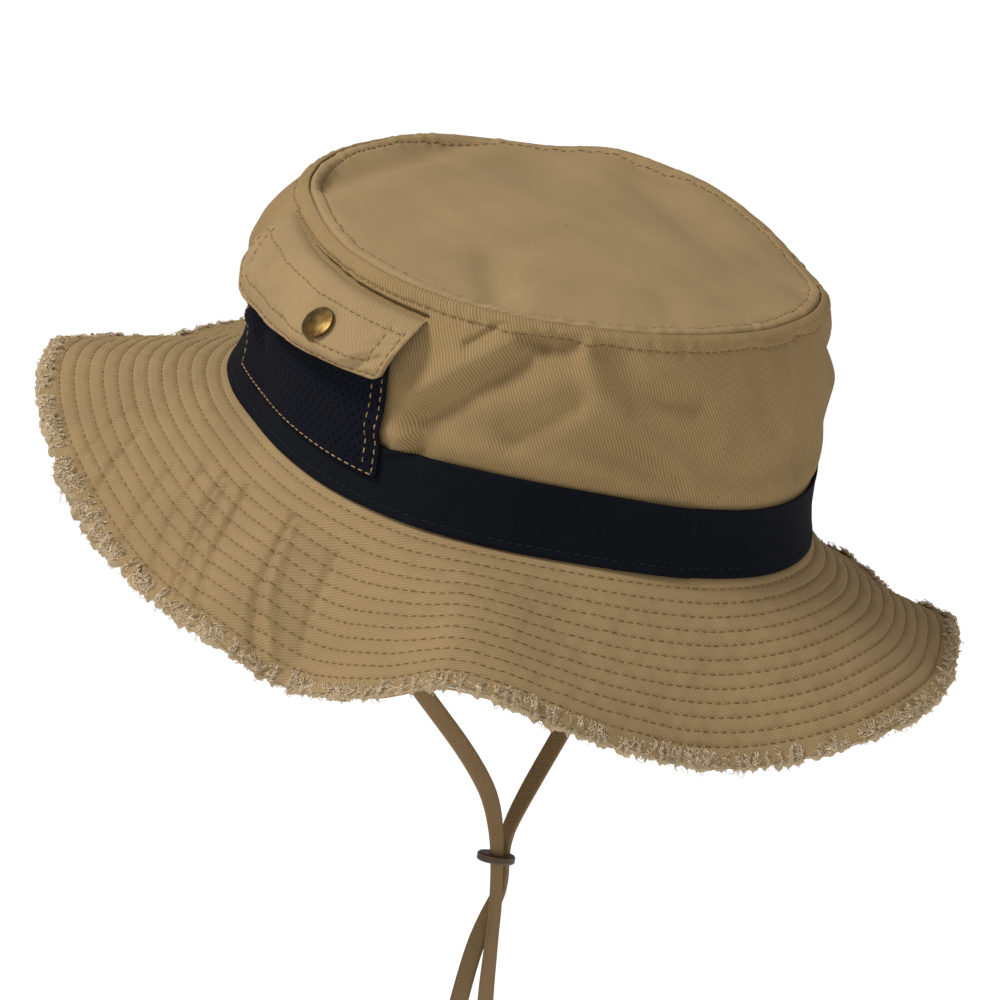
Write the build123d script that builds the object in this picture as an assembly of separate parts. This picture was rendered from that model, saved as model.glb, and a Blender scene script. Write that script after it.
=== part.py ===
from build123d import *
import math
import os

# Boonie hat, millimetres.  The hat is modelled level: +Z up out of the crown, -Y to the
# wearer's front, +X to the wearer's left, with the centre of the head opening at the origin.
# It is then tipped about X, front up, as it sits on a head.  The chin cord hangs plumb.
# Azimuths are in degrees round the hat: 0 at the back, 90 at the wearer's left ear.

# ---- driving dimensions -----------------------------------------------------------------
PITCH = 20.0                # how far the front of the hat is tipped up
OPENING_LONG = 104.2        # half length of the crown's foot, front to back
OPENING_WIDE = 91.2         # half width of the crown's foot, ear to ear
TIP_LONG = 86.9             # half length of the tip panel
TIP_WIDE = 85.6             # half width of the tip panel
TIP_SHIFT = 1.9             # the tip sits this far back of the opening
CROWN_H = 72.0              # height of the tip seam over the opening
CROWN_TILT = 0.022          # extra height per millimetre towards the back
TIP_DOME = 4.0              # rise of the tip panel's middle

CLOTH = 0.9                 # one layer of cotton twill, as sewn
GAP = 0.15                  # clearance between sewn layers
SHELL = 1.2                 # crown wall and tip: twill with its seam allowance

BAND_H = 23.5               # navy hatband
BAND_T = 1.2
SWEAT_H = 32.0              # inner sweatband
SWEAT_T = 1.2
SWEAT_DROP = 3.2            # how far the sweatband reaches below the opening
TAPE_H = 12.0               # seam tape inside the tip seam
TAPE_T = 0.8

BRIM_W = 62.0               # cloth width of the brim
BINDING_W = 9.0             # folded, frayed strip round the brim's edge
BINDING_T = 0.9
BINDING_OUT = 1.5           # how far the binding reaches past the brim's cloth

POCKET_AZ = (67.0, 119.0)   # mesh pocket, rear edge and front edge
POCKET_Z = (10.0, 57.0)
POCKET_OUT = 1.7            # clearance of the mesh over the crown, band included
MESH_T = 0.8
HEM_H = 13.0                # folded top hem of the pocket
FLAP_AZ = (64.0, 116.5)
FLAP_Z = (40.5, 63.5)       # lower edge and fold of the flap
FLAP_OUT = 7.2              # inner face of the flap at the snap
FLAP_BEND_Z = 57.0          # above this height the flap closes in towards its fold
FLAP_TOP_OUT = 3.4          # inner face of the flap at its fold
FLAP_T = 1.0
LINING_T = 0.8
LAYER_GAP = 0.3             # between pocket, hem, flap and snap pieces

SNAP_AZ = 82.0
SNAP_Z = 52.0
SOCKET_FACE = FLAP_OUT - 0.7
CAP_D = 11.4
SOCKET_D = 9.4
STUD_D = 9.0
STUD_NECK_D = 4.8
RIVET_D = 3.0
RIVET_HOLE_D = 3.6

CORD_D = 4.6                # chin cord
ANCHOR_H = 12.0             # webbing tab that holds each end of the cord
ANCHOR_W = 11.0
ANCHOR_T = 4.8
ANCHOR_EASE = 1.1           # room for the sweatband's curve behind the flat tab
BEAD_D = 12.6               # cord slide
BEAD_T = 2.8
BEAD_SLOT = (9.8, 5.3)      # length and width of its slot
BEAD_SLOT_TURN = 27.5       # of the slot about the plumb line, in degrees
BEAD_SLOT_SHIFT = (-1.0, 0.8)
BEAD_LEAN = 9.0             # of the disc, in degrees, about a level line along BEAD_LEAN_WAY
BEAD_LEAN_WAY = (0.6, 0.8, 0.0)
BEAD_POS = (8.7, 0.7, -136.5)

# How far the soft opening and tip depart from a plain ellipse, as a share of the radius.
OPENING_WAVE = (
    (0, 0.010), (15, -0.037), (30, -0.052), (45, -0.027), (60, 0.008), (75, 0.014),
    (90, -0.012), (105, -0.033), (120, -0.016), (135, 0.0), (180, 0.0), (225, 0.0),
    (270, 0.0), (300, 0.0), (315, 0.010), (330, 0.044), (345, 0.048),
)
TIP_WAVE = (
    (0, -0.022), (30, 0.013), (60, 0.050), (90, 0.010), (120, -0.056), (150, -0.026),
    (180, 0.036), (210, 0.019), (240, -0.007), (270, 0.004), (300, 0.0), (330, -0.019),
)

# Outward belly of the crown wall at each share of its height.
BELLY = ((0.0, 0.0), (0.14, -0.6), (0.4, 1.5), (0.66, 5.0), (0.87, 3.0), (1.0, 0.0))

# Droop of the brim below level, in degrees, at azimuths round the hat.
DROOP = (
    (0, 42), (15, 37), (30, 28), (45, 21), (55, 36), (65, 51), (75, 41), (90, 44),
    (105, 33), (120, 19), (135, 11), (150, 18), (165, 27), (180, 24), (210, 28), (240, 38),
    (265, 47), (280, 41), (295, 38), (310, 26), (325, 27), (340, 27),
)
# How far the brim dips, at a third of its width, below a straight line from crown to edge.
DIP = (
    (0, 0), (60, 0), (120, 0), (150, 0), (165, 2), (180, 3), (200, 3), (225, 3), (250, 5),
    (270, 8), (290, 9), (305, 8), (320, 2), (335, 0),
)
DIP_SCALE = 1.5 * math.sqrt(3.0)    # makes the dip's curve 1 at its deepest
# Reaches at which the brim's section bends, from inside the crown's wall to its raw edge.
BRIM_BENDS = (-SHELL, 5.0, 12.0, 24.0, 38.0, BRIM_W - BINDING_W, BRIM_W)


# ---- surfaces of the hat ----------------------------------------------------------------
def smooth(table, angle):
    """Periodic Catmull-Rom value of a table of (azimuth, value) pairs."""
    angle = angle % 360
    count = len(table)
    index = max(i for i in range(count) if table[i][0] <= angle)

    def knot(i):
        turns, place = divmod(i, count)
        return table[place][0] + 360 * turns, table[place][1]

    (a0, v0), (a1, v1), (a2, v2), (a3, v3) = (knot(index + k) for k in (-1, 0, 1, 2))
    span = a2 - a1
    slope1 = (v2 - v0) / (a2 - a0) * span
    slope2 = (v3 - v1) / (a3 - a1) * span
    t = (angle - a1) / span
    return (
        v1 * (2 * t**3 - 3 * t**2 + 1) + slope1 * (t**3 - 2 * t**2 + t)
        + v2 * (3 * t**2 - 2 * t**3) + slope2 * (t**3 - t**2)
    )


def stepped(table, value):
    """Straight-line interpolation in a table of (position, value) pairs."""
    for (x0, y0), (x1, y1) in zip(table, table[1:]):
        if value <= x1:
            return y0 + (y1 - y0) * (value - x0) / (x1 - x0)
    return table[-1][1]


def oval(azimuth, half_long, half_wide, wave, shift):
    """Point of a slightly uneven oval seen from above."""
    a = math.radians(azimuth)
    k = 1.0 + smooth(wave, azimuth)
    return half_wide * math.sin(a) * k, half_long * math.cos(a) * k + shift


def plan(azimuth, rise):
    """Point of the crown wall seen from above; rise is 0 at the opening and 1 at the tip."""
    x0, y0 = oval(azimuth, OPENING_LONG, OPENING_WIDE, OPENING_WAVE, 0.0)
    x1, y1 = oval(azimuth, TIP_LONG, TIP_WIDE, TIP_WAVE, TIP_SHIFT)
    return x0 + (x1 - x0) * rise, y0 + (y1 - y0) * rise


def outward(azimuth, rise):
    """Level unit vector straight out of the wall."""
    xa, ya = plan(azimuth - 0.5, rise)
    xb, yb = plan(azimuth + 0.5, rise)
    length = math.hypot(xb - xa, yb - ya)
    return -(yb - ya) / length, (xb - xa) / length


def wall(azimuth, z, out=0.0):
    """Point at a height up the crown wall, a distance out from its outer face."""
    rise = z / CROWN_H
    x, y = plan(azimuth, max(0.0, min(1.0, rise)))
    nx, ny = outward(azimuth, max(0.0, min(1.0, rise)))
    reach = out + stepped(BELLY, max(0.0, min(1.0, rise)))
    return Vector(x + nx * reach, y + ny * reach, rise * (CROWN_H + CROWN_TILT * y))


def brim(azimuth, reach, lift):
    """Point of the brim, a reach out from the crown's outer face and a lift above its top."""
    x, y = plan(azimuth, 0.0)
    nx, ny = outward(azimuth, 0.0)
    droop = math.radians(smooth(DROOP, azimuth))
    level = reach * math.cos(droop)
    share = min(max(reach / BRIM_W, 0.0), 1.0)
    dip = smooth(DIP, azimuth) * DIP_SCALE * math.sqrt(share) * (1 - share)
    height = lift - GAP - reach * math.sin(droop) - dip
    return Vector(x + nx * level, y + ny * level, height)


def hoop(point_at, step):
    """Closed curve right round the hat; its parameter runs evenly with the azimuth."""
    count = int(360 / step)
    points = [point_at(step * i) for i in range(count)]
    return Edge.make_spline(points, periodic=True, parameters=range(count + 1))


def ring(corners, step=7.5):
    """Closed solid that runs right round the hat, with one curve for each section corner."""
    hoops = [hoop(corner, step) for corner in corners]
    faces = [Face.make_surface_from_curves(hoops[i - 1], hoops[i]) for i in range(len(hoops))]
    return Solid(Shell(Face.sew_faces(faces)[0]))


def panel(az_range, heights, inner, outer, steps=8):
    """Curved sheet that follows the wall between two azimuths, through some heights."""
    width = az_range[1] - az_range[0]
    azimuths = [az_range[0] + width * i / steps for i in range(steps + 1)]

    def rail(z, out):
        points = [wall(a, z, out) for a in azimuths]
        return Edge.make_spline(points, parameters=range(steps + 1))

    front = [rail(z, outer(z)) for z in heights]
    back = [rail(z, inner(z)) for z in heights]
    loop = front + back[::-1]
    faces = [Face.make_surface_from_curves(loop[i - 1], loop[i]) for i in range(len(loop))]
    for low in range(len(heights) - 1):
        for end in (0, 1):
            face_side = Edge.make_line(front[low] @ end, front[low + 1] @ end)
            wall_side = Edge.make_line(back[low] @ end, back[low + 1] @ end)
            faces.append(Face.make_surface_from_curves(face_side, wall_side))
    return Solid(Shell(Face.sew_faces(faces)[0]))


def heights_between(low, high):
    """A panel's edges, with every height between them where the wall's slope changes."""
    kinks = [share * CROWN_H for share, _ in BELLY]
    return [low] + [z for z in kinks if low + 1 < z < high - 1] + [high]


# ---- crown ------------------------------------------------------------------------------
def make_sidewall():
    heights = [share * CROWN_H for share, _ in BELLY]
    outer = [lambda a, z=z: wall(a, z) for z in heights]
    inner = [lambda a, z=z: wall(a, z, -SHELL) for z in reversed(heights)]
    return ring(outer + inner, step=15)


def tip_point(azimuth, share, lift):
    """Point of the domed tip: share 1 is its seam, 0 its middle."""
    edge = wall(azimuth, CROWN_H)
    return Vector(
        edge.X * share,
        TIP_SHIFT + (edge.Y - TIP_SHIFT) * share,
        CROWN_H + CROWN_TILT * edge.Y * share + TIP_DOME * (1 - share**2) + lift,
    )


def make_tip():
    """Domed panel; its underside rests on the top edge of the wall."""
    shares = (1.0, 0.75, 0.4)

    def dome(lift):
        return [hoop(lambda a, s=s: tip_point(a, s, lift), 15) for s in shares]

    top, bottom = dome(GAP + SHELL), dome(GAP)
    loop = top[::-1] + bottom
    skins = [Face.make_surface_from_curves(a, b) for a, b in zip(loop, loop[1:])]
    caps = [Face.make_surface(Wire([edge])) for edge in (top[2], bottom[2])]
    return Solid(Shell(Face.sew_faces(skins + caps)[0]))


def make_seam_tape():
    """Narrow tape sewn round the inside of the tip seam."""
    top = CROWN_H - 0.6
    low = top - TAPE_H
    inset = SHELL + GAP
    corners = [(low, inset), (top, inset), (top, inset + TAPE_T), (low, inset + TAPE_T)]
    return ring([lambda a, z=z, d=d: wall(a, z, -d) for z, d in corners], step=15)


def make_hatband():
    corners = [(0.1, GAP), (BAND_H, GAP), (BAND_H, GAP + BAND_T), (0.1, GAP + BAND_T)]
    mid = BAND_H * 0.45
    corners.insert(1, (mid, GAP))
    corners.insert(4, (mid, GAP + BAND_T))
    return ring([lambda a, z=z, d=d: wall(a, z, d) for z, d in corners], step=15)


def make_sweatband():
    top = SWEAT_H - SWEAT_DROP
    inset = SHELL + GAP
    heights = (-SWEAT_DROP, 0.14 * CROWN_H, top)
    outer = [lambda a, z=z: wall(a, z, -inset) for z in heights]
    inner = [lambda a, z=z: wall(a, z, -inset - SWEAT_T) for z in reversed(heights)]
    return ring(outer + inner, step=15)


# ---- brim -------------------------------------------------------------------------------
def make_brim_layer(top):
    """One of the three stitched layers, between a lift and one cloth below it."""
    corners = [(reach, top) for reach in BRIM_BENDS]
    corners += [(reach, top - CLOTH) for reach in reversed(BRIM_BENDS)]
    return ring([lambda a, r=r, h=h: brim(a, r, h) for r, h in corners])


def make_binding():
    """Folded strip that wraps the brim's edge; its section is a U lying on its side."""
    start = BRIM_W - BINDING_W
    edge = BRIM_W + BINDING_OUT
    under = -(3 * CLOTH + 2 * GAP)
    groove = BRIM_W + GAP
    corners = [
        (start, GAP + BINDING_T), (edge, GAP + BINDING_T),
        (edge, under - GAP - BINDING_T), (start, under - GAP - BINDING_T),
        (start, under - GAP), (groove, under - GAP), (groove, GAP), (start, GAP),
    ]
    return ring([lambda a, r=r, h=h: brim(a, r, h) for r, h in corners])


# ---- pocket, flap and snap --------------------------------------------------------------
def snap_plane():
    """Plane on the crown at the snap, facing straight out of the wall."""
    here = wall(SNAP_AZ, SNAP_Z)
    along = wall(SNAP_AZ + 1, SNAP_Z) - wall(SNAP_AZ - 1, SNAP_Z)
    up = wall(SNAP_AZ, SNAP_Z + 4) - wall(SNAP_AZ, SNAP_Z - 4)
    return Plane(origin=here, x_dir=along, z_dir=up.cross(along))


def snap_disc(diameter, low, high):
    """Disc of the snap, between two distances out from the crown."""
    plane = snap_plane()
    disc = Cylinder(diameter / 2, high - low, align=(Align.CENTER, Align.CENTER, Align.MIN))
    return plane * Pos(0, 0, low) * disc


def flat(value):
    return lambda z: value


def flap_out(extra):
    """Distance of a flap layer from the crown: it closes in towards its fold."""
    def reach(z):
        closing = max(0.0, (z - FLAP_BEND_Z) / (FLAP_Z[1] - FLAP_BEND_Z))
        return FLAP_OUT + (FLAP_TOP_OUT - FLAP_OUT) * closing + extra
    return reach


# Distances out from the crown of the faces of the pocket and the flap.
MESH_FACE = POCKET_OUT + MESH_T
HEM_BACK = MESH_FACE + LAYER_GAP
HEM_FACE = HEM_BACK + CLOTH
OUTER_BACK = LINING_T + LAYER_GAP
FLAP_FACE = FLAP_OUT + OUTER_BACK + FLAP_T
FLAP_HEIGHTS = (FLAP_Z[0], 0.66 * CROWN_H, FLAP_BEND_Z, 0.87 * CROWN_H, FLAP_Z[1])


def make_pocket_mesh():
    heights = heights_between(*POCKET_Z)
    sheet = panel(POCKET_AZ, heights, flat(POCKET_OUT), flat(MESH_FACE))
    return sheet - snap_disc(RIVET_HOLE_D, 0, FLAP_OUT)


def make_pocket_hem():
    heights = heights_between(POCKET_Z[1] - HEM_H, POCKET_Z[1])
    strip = panel(POCKET_AZ, heights, flat(HEM_BACK), flat(HEM_FACE))
    return strip - snap_disc(RIVET_HOLE_D, 0, FLAP_OUT)


def make_flap_seam():
    """Top edge of the flap, sewn flat to the crown above the fold."""
    return panel(FLAP_AZ, (FLAP_Z[1] + 0.8, FLAP_Z[1] + 5.2), flat(0.4), flat(2.0))


def make_flap_lining():
    sheet = panel(FLAP_AZ, FLAP_HEIGHTS, flap_out(0.0), flap_out(LINING_T))
    return sheet - snap_disc(RIVET_HOLE_D, FLAP_OUT - 1.5, FLAP_FACE + 3)


def make_flap_outer():
    sheet = panel(FLAP_AZ, FLAP_HEIGHTS, flap_out(OUTER_BACK), flap_out(OUTER_BACK + FLAP_T))
    return sheet - snap_disc(RIVET_HOLE_D, FLAP_OUT - 1.5, FLAP_FACE + 3)


def make_snap_cap():
    """Domed cap on the flap, with the rivet that holds the socket behind it."""
    foot = FLAP_FACE + LAYER_GAP
    rim = snap_disc(CAP_D, foot, foot + 0.6)
    crown = snap_disc(CAP_D - 1.6, foot + 0.6, foot + 1.2)
    top = snap_disc(CAP_D - 4.6, foot + 1.2, foot + 1.6)
    rivet = snap_disc(RIVET_D, SOCKET_FACE, foot)
    return rim + crown + top + rivet


def make_snap_socket():
    cup = snap_disc(SOCKET_D, SOCKET_FACE - 1.7, SOCKET_FACE)
    return cup - snap_disc(STUD_NECK_D + 0.6, SOCKET_FACE - 3.0, SOCKET_FACE - 0.6)


def make_snap_stud():
    back = HEM_FACE + LAYER_GAP
    return snap_disc(STUD_D, back, back + 0.5) + snap_disc(STUD_NECK_D, back + 0.5, back + 1.7)


def make_snap_post():
    """Rivet behind the pocket's hem that holds the stud."""
    head = snap_disc(STUD_D - 1.0, POCKET_OUT - LAYER_GAP - 0.7, POCKET_OUT - LAYER_GAP)
    shank = snap_disc(RIVET_D, POCKET_OUT - LAYER_GAP, HEM_FACE + LAYER_GAP)
    return head + shank


# ---- chin cord --------------------------------------------------------------------------
def anchor_centre(azimuth):
    """Middle of a tab's foot, just inside the sweatband at one ear."""
    inset = SHELL + GAP + SWEAT_T + LAYER_GAP + ANCHOR_T / 2
    point = wall(azimuth, 2.0 + ANCHOR_H, -inset - ANCHOR_EASE)
    return Vector(point.X, 0, 2.0)


def make_anchor(azimuth):
    foot = anchor_centre(azimuth)
    tab = Box(ANCHOR_T, ANCHOR_W, ANCHOR_H, align=(Align.CENTER, Align.CENTER, Align.MIN))
    return Pos(foot) * tab


def tipped(point):
    """A point of the level hat, after the hat is tipped."""
    a = math.radians(PITCH)
    y, z = point.Y, point.Z
    return Vector(point.X, y * math.cos(a) + z * math.sin(a), z * math.cos(a) - y * math.sin(a))


def cord_route():
    """Corners of the cord: left ear, through the slide, the loop, back up to the right ear."""
    exit_run = Vector(0, -math.sin(math.radians(PITCH)), -math.cos(math.radians(PITCH))) * 14
    left = tipped(anchor_centre(90))
    right = tipped(anchor_centre(270))
    left_side = [
        (75.5, -7.5, -34), (53.5, -4.5, -58), (37, -1, -80), (18, 1.2, -104),
        (9.8, 2.6, -121), (9.8, 2.6, -149), (12.5, 2.8, -166), (15, 2.6, -185.5),
        (15, 2, -206), (12.5, 1.5, -226.5), (9.5, 1, -247), (8, 1, -265),
    ]
    loop = [(11, 0.5, -280.5), (23, 0, -288), (37, -0.5, -283), (45, -1, -268.5)]
    right_side = [
        (45.5, -1.2, -252), (41, -1.6, -234.5), (34, -2, -217.5), (27, -2.6, -200),
        (21, -3.2, -183), (15, -3.4, -167), (10, -2.4, -156), (5.6, 0.4, -146),
        (5.6, 0.4, -132), (-0.5, 0.4, -121), (-20, -2, -98.5), (-39, -4.5, -77),
        (-60, -7.5, -58), (-78, -8, -35),
    ]
    middle = [Vector(*p) for p in left_side + loop + right_side]
    return [left, left + exit_run] + middle + [right + exit_run, right]


def make_cord():
    route = cord_route()
    radii = []
    for before, here, after in zip(route, route[1:], route[2:]):
        arrive, leave = here - before, after - here
        half_turn = math.radians(arrive.get_angle(leave)) / 2
        radii.append(0.45 * min(arrive.length, leave.length) / math.tan(half_turn))
    print("cord radii", [round(r) for r in radii])
    path = FilletPolyline(*route, radius=radii)
    start = Plane(origin=route[0], z_dir=route[1] - route[0])
    tube = sweep(start * Circle(CORD_D / 2), path=path)
    section = math.pi * (CORD_D / 2) ** 2
    print("cord length %.1f, tube volume over section times length %.4f"
          % (path.length, tube.volume / (section * path.length)))
    return tube


def make_slide():
    x, y, z = BEAD_POS
    disc = Cylinder(BEAD_D / 2, BEAD_T)
    disc = chamfer(disc.edges().filter_by(GeomType.CIRCLE), 0.5)
    disc = disc.rotate(Axis((0, 0, 0), BEAD_LEAN_WAY), -BEAD_LEAN)
    slot = Rot(0, 0, BEAD_SLOT_TURN) * extrude(SlotOverall(*BEAD_SLOT), BEAD_T, both=True)
    return Pos(x, y, z) * (disc - Pos(*BEAD_SLOT_SHIFT) * slot)


# ---- write every piece ------------------------------------------------------------------
def main():
    level = {
        "crown_tip": make_tip(),
        "crown_sidewall": make_sidewall(),
        "tip_seam_tape": make_seam_tape(),
        "hatband": make_hatband(),
        "sweatband": make_sweatband(),
        "brim_upper": make_brim_layer(0.0),
        "brim_interlining": make_brim_layer(-CLOTH - GAP),
        "brim_lower": make_brim_layer(-2 * (CLOTH + GAP)),
        "brim_edge_binding": make_binding(),
        "pocket_mesh": make_pocket_mesh(),
        "pocket_top_hem": make_pocket_hem(),
        "pocket_flap_seam": make_flap_seam(),
        "pocket_flap_lining": make_flap_lining(),
        "pocket_flap_outer": make_flap_outer(),
        "snap_cap": make_snap_cap(),
        "snap_socket": make_snap_socket(),
        "snap_stud": make_snap_stud(),
        "snap_post": make_snap_post(),
        "cord_anchor_left": make_anchor(90),
        "cord_anchor_right": make_anchor(270),
    }
    pieces = {name: Rot(-PITCH, 0, 0) * solid for name, solid in level.items()}
    pieces["chin_cord"] = make_cord()
    pieces["cord_slide"] = make_slide()

    fold = FLAP_TOP_OUT + OUTER_BACK
    rear, front = (wall(a, FLAP_Z[1] + 0.4, fold) for a in FLAP_AZ)
    middle = wall(sum(FLAP_AZ) / 2, FLAP_Z[1] + 0.4, fold)
    print("flap fold at", tipped(middle), "axis", (tipped(front) - tipped(rear)).normalized())

    os.makedirs("parts", exist_ok=True)
    for name, solid in pieces.items():
        export_step(solid, f"parts/{name}.step")


main()
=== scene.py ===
import bpy
import math
import numpy as np
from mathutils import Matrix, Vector


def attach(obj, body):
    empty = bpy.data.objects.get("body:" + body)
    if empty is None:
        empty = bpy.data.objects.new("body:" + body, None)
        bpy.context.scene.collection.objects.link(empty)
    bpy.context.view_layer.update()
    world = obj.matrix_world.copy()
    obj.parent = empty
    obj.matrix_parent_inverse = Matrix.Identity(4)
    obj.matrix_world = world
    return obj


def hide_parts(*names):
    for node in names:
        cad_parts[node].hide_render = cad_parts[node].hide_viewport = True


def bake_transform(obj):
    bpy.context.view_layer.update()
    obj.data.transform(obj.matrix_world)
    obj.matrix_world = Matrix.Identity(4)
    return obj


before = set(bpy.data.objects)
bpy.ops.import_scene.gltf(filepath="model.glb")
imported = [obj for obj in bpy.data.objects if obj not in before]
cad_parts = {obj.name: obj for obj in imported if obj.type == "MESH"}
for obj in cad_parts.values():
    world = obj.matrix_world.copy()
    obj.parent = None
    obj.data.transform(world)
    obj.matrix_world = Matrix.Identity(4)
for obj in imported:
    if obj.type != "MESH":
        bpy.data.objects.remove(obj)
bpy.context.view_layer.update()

# Boonie hat.  Lengths are millimetres on the level hat (+Z up out of the crown, -Y to the
# wearer's front, +X to the wearer's left), with azimuth 0 at the back and 90 at the left ear.
# place() tips the hat front up and turns its millimetres into the scene's metres.

# ---- measures shared with the solid model -------------------------------------------------
PITCH = math.radians(20.0)
OPENING_LONG, OPENING_WIDE = 104.2, 91.2
TIP_LONG, TIP_WIDE, TIP_SHIFT = 86.9, 85.6, 1.9
CROWN_H, CROWN_TILT, TIP_DOME = 72.0, 0.022, 4.0
BAND_H, SWEAT_H, SWEAT_DROP = 23.5, 32.0, 3.2
BRIM_W = 62.0
POCKET_AZ, POCKET_Z = (67.0, 119.0), (10.0, 57.0)

# How far the crown's foot, and its upper edge, depart from an oval at each azimuth, as a share
# of the radius there.
OPENING_WAVE = (
    (0, 0.010), (15, -0.037), (30, -0.052), (45, -0.027), (60, 0.008), (75, 0.014),
    (90, -0.012), (105, -0.033), (120, -0.016), (135, 0.0), (180, 0.0), (225, 0.0),
    (270, 0.0), (300, 0.0), (315, 0.010), (330, 0.044), (345, 0.048),
)
TIP_WAVE = (
    (0, -0.022), (30, 0.013), (60, 0.050), (90, 0.010), (120, -0.056), (150, -0.026),
    (180, 0.036), (210, 0.019), (240, -0.007), (270, 0.004), (300, 0.0), (330, -0.019),
)
# How far the wall of the crown swells out, by its share of the height.
BELLY = ((0.0, 0.0), (0.14, -0.6), (0.4, 1.5), (0.66, 5.0), (0.87, 3.0), (1.0, 0.0))
# Slope of the brim below level at each azimuth, in degrees, and how far it sags below that slope.
DROOP = (
    (0, 42), (15, 37), (30, 28), (45, 21), (55, 36), (65, 51), (75, 41), (90, 44),
    (105, 33), (120, 19), (135, 11), (150, 18), (165, 27), (180, 24), (210, 28), (240, 38),
    (265, 47), (280, 41), (295, 38), (310, 26), (325, 27), (340, 27),
)
DIP = (
    (0, 0), (60, 0), (120, 0), (150, 0), (165, 2), (180, 3), (200, 3), (225, 3), (250, 5),
    (270, 8), (290, 9), (305, 8), (320, 2), (335, 0),
)


# ---- camera -------------------------------------------------------------------------------
CAMERA_AZ, CAMERA_EL = math.radians(143.0), math.radians(5.0)
CAMERA_DISTANCE = 1.6
CAMERA_SHIFT = (-0.016, -0.060)
FOCAL = 176.8


def direction(azimuth, elevation):
    """Way from the hat towards an azimuth and elevation of the scene, in radians."""
    level = math.cos(elevation)
    return Vector((math.sin(azimuth) * level, -math.cos(azimuth) * level, math.sin(elevation)))


def aim(thing, toward, distance):
    """Stand a camera or light off from the hat and turn it to look back."""
    thing.location = toward * distance
    thing.rotation_euler = (-toward).to_track_quat("-Z", "Y").to_euler()
    bpy.context.scene.collection.objects.link(thing)


def make_camera():
    data = bpy.data.cameras.new("camera")
    camera = bpy.data.objects.new("camera", data)
    aim(camera, direction(CAMERA_AZ, CAMERA_EL), CAMERA_DISTANCE)
    data.lens = FOCAL
    data.sensor_width = 36.0
    data.shift_x, data.shift_y = CAMERA_SHIFT
    data.clip_end = 50.0
    bpy.context.scene.camera = camera


# ---- number helpers -----------------------------------------------------------------------
AROUND = np.linspace(0.0, 360.0, 1441)


def periodic(table):
    """Catmull-Rom curve through (azimuth, value) pairs, as a fast function of azimuth."""
    a = np.array([p[0] for p in table], float)
    v = np.array([p[1] for p in table], float)
    count = len(a)
    a = np.concatenate([a - 360, a, a + 360])
    v = np.tile(v, 3)
    slope = np.zeros(len(a))
    slope[1:-1] = (v[2:] - v[:-2]) / (a[2:] - a[:-2])
    i = np.clip(np.searchsorted(a, AROUND, side="right") - 1, count - 1, 2 * count)
    span = a[i + 1] - a[i]
    t = (AROUND - a[i]) / span
    values = (
        v[i] * (2 * t**3 - 3 * t**2 + 1) + slope[i] * span * (t**3 - 2 * t**2 + t)
        + v[i + 1] * (3 * t**2 - 2 * t**3) + slope[i + 1] * span * (t**3 - t**2)
    )
    return lambda azimuth: np.interp(np.mod(azimuth, 360.0), AROUND, values)


def spread(*values):
    """The values as arrays of one shape."""
    return np.broadcast_arrays(*(np.asarray(v, float) for v in values))


def unit(vectors):
    """Vectors, or rows of them, brought to length 1."""
    return vectors / (np.linalg.norm(vectors, axis=-1, keepdims=True) + 1e-9)


def along_line(shares, at, values):
    """Vectors at the given shares of a line, from those at the shares `at`."""
    return np.stack([np.interp(shares, at, values[:, k]) for k in range(3)], -1)


def travelled(points):
    """Length of a line from its start to each of its points."""
    return np.concatenate([[0], np.cumsum(np.linalg.norm(np.diff(points, axis=0), axis=1))])


def bump(x, centre, width):
    """Bell of height 1 round a centre."""
    return np.exp(-(((x - centre) / width) ** 2))


def ease(x, low, high):
    """0 below low, 1 above high, smooth between."""
    t = np.clip((x - low) / (high - low), 0.0, 1.0)
    return t * t * (3 - 2 * t)


def ripple(points, wavelength, seed, waves=9):
    """Smooth random relief, about -1 to 1, of points in millimetres."""
    rng = np.random.RandomState(seed)
    total = np.zeros(points.shape[:-1])
    for _ in range(waves):
        way = rng.normal(size=3)
        way *= 2 * math.pi / (wavelength * rng.uniform(0.7, 1.5) * np.linalg.norm(way))
        total += np.sin(points @ way + rng.uniform(0, 2 * math.pi))
    return total / math.sqrt(waves) / 1.2


def place(points):
    """Level hat millimetres to scene metres."""
    points = np.asarray(points, float)
    c, s = math.cos(PITCH), math.sin(PITCH)
    y, z = points[..., 1], points[..., 2]
    return np.stack([points[..., 0], c * y + s * z, c * z - s * y], -1) / 1000.0


# ---- surfaces of the hat ------------------------------------------------------------------
opening_wave = periodic(OPENING_WAVE)
tip_wave = periodic(TIP_WAVE)
droop_of = periodic(DROOP)
dip_of = periodic(DIP)
BELLY_RISE = np.linspace(0, 1, 101)
BELLY_OUT = np.interp(BELLY_RISE, [p[0] for p in BELLY], [p[1] for p in BELLY])
BELLY_OUT[3:-3] = np.convolve(BELLY_OUT, np.ones(7) / 7, "valid")


def plan(azimuth, rise):
    """Outline of the crown seen from above, at a share of its height."""
    a = np.radians(azimuth)
    k0 = 1 + opening_wave(azimuth)
    k1 = 1 + tip_wave(azimuth)
    x = OPENING_WIDE * np.sin(a) * k0 * (1 - rise) + TIP_WIDE * np.sin(a) * k1 * rise
    y = OPENING_LONG * np.cos(a) * k0 * (1 - rise) + TIP_LONG * np.cos(a) * k1 * rise
    return x, y + TIP_SHIFT * rise


def outward(azimuth, rise):
    """Level unit vector that faces out of that outline."""
    xa, ya = plan(azimuth - 0.5, rise)
    xb, yb = plan(azimuth + 0.5, rise)
    length = np.hypot(xb - xa, yb - ya)
    return -(yb - ya) / length, (xb - xa) / length


ARC = 1.66      # millimetres of crown wall for each degree of azimuth

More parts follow.
